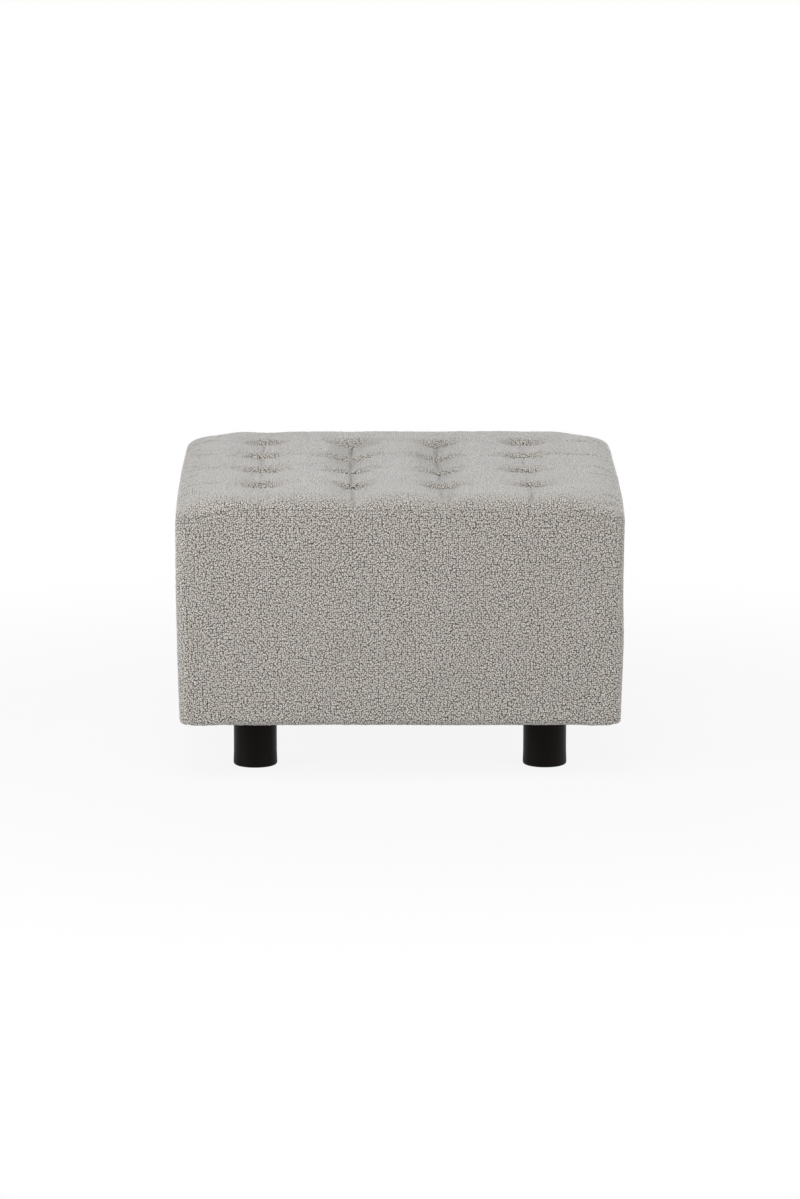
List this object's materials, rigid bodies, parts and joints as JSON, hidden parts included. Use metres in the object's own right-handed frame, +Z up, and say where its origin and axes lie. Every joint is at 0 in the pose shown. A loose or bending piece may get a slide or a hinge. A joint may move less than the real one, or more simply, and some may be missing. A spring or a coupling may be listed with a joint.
{
  "type": "pouf",
  "caption": "Square upholstered pouf with a crowned, blind-tufted top, seamed cloth sides and short round black legs.",
  "frame": {"origin": "on the floor, under the middle of the seat", "axes": "+Z up, +X to the right and -Y to the front, as the picture shows it"},
  "size_m": [0.6, 0.6, 0.3825],
  "materials": {
    "cover_cloth": "looped warm grey upholstery cloth, matte",
    "lining_cloth": "black non-woven lining, matte",
    "fibre": "white polyester fibre, matte",
    "foam": "cream upholstery foam, matte",
    "nylon": "dark moulded nylon, satin",
    "twine": "waxed polyester twine, satin",
    "plywood": "sanded birch plywood, matte",
    "pine": "planed pine, matte",
    "zinc_steel": "bright zinc plated steel",
    "leg_black": "near-black moulded plastic, satin",
    "felt": "pressed grey felt, matte"
  },
  "bodies": {
    "root": {"top_cover": "cover_cloth", "front_cover": "cover_cloth", "back_cover": "cover_cloth", "left_cover": "cover_cloth", "right_cover": "cover_cloth", "bottom_lining": "lining_cloth", "top_pad": "fibre", "foam_slab": "foam", "front_pad": "foam", "back_pad": "foam", "left_pad": "foam", "right_pad": "foam", "tuft_discs": "nylon", "tuft_toggles": "nylon", "leg_spacers": "nylon", "leg_end_caps": "nylon", "tuft_twines": "twine", "deck": "plywood", "front_board": "plywood", "back_board": "plywood", "left_board": "plywood", "right_board": "plywood", "plate_front_left": "plywood", "plate_front_right": "plywood", "plate_back_left": "plywood", "plate_back_right": "plywood", "deck_brace": "pine", "post_front_left": "pine", "post_front_right": "pine", "post_back_left": "pine", "post_back_right": "pine", "front_rail": "pine", "back_rail": "pine", "left_rail": "pine", "right_rail": "pine", "deck_screws": "zinc_steel", "board_screws": "zinc_steel", "leg_bolts": "zinc_steel", "leg_tee_nuts": "zinc_steel", "leg_front_left": "leg_black", "leg_front_right": "leg_black", "leg_back_left": "leg_black", "leg_back_right": "leg_black", "leg_glides": "felt"}
  },
  "joints": []
}
